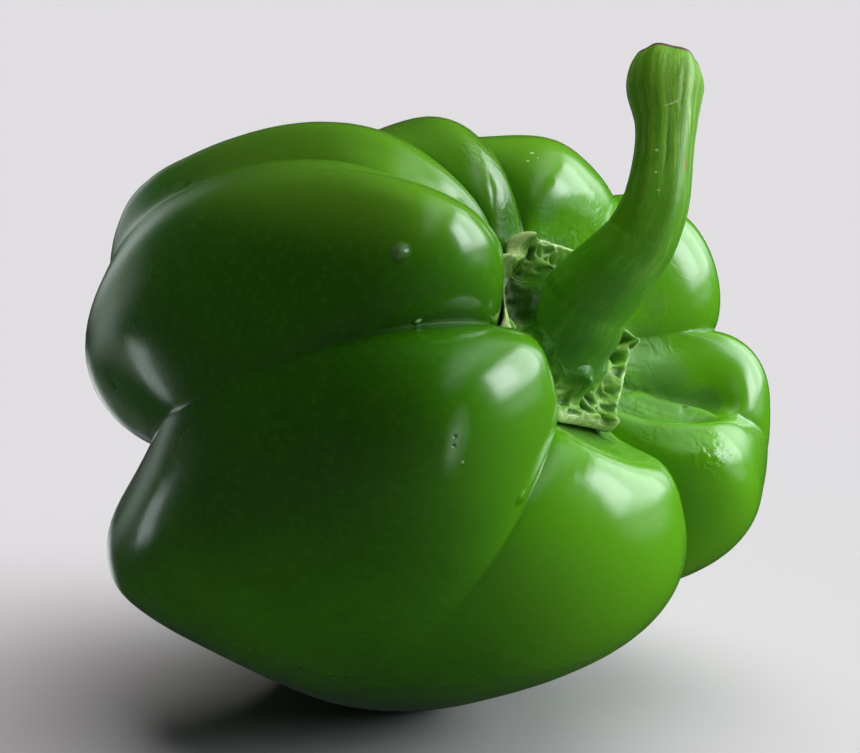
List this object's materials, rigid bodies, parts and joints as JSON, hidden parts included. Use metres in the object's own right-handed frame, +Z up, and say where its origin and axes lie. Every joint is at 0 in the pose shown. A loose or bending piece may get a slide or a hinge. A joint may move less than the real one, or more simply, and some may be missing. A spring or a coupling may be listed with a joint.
{
  "type": "bell pepper",
  "caption": "Green bell pepper lying on its side, with rounded lobes, a sunken calyx and a curved stem that points up.",
  "frame": {"origin": "on the surface it lies on, under the middle of its bounding box", "axes": "+Z up; -Y towards the viewer of the lobed side; +X towards the stem end"},
  "size_m": [0.1064, 0.1004, 0.1011],
  "materials": {
    "fruit_skin": "glossy waxy skin, dark green with lighter yellow-green shoulders",
    "calyx_green": "matt, pale yellow-green, wrinkled",
    "stem_green": "satin mid green with lengthwise ribs and a dry brown cut end"
  },
  "bodies": {
    "root": {"fruit": "fruit_skin", "calyx": "calyx_green", "stem": "stem_green"}
  },
  "joints": []
}
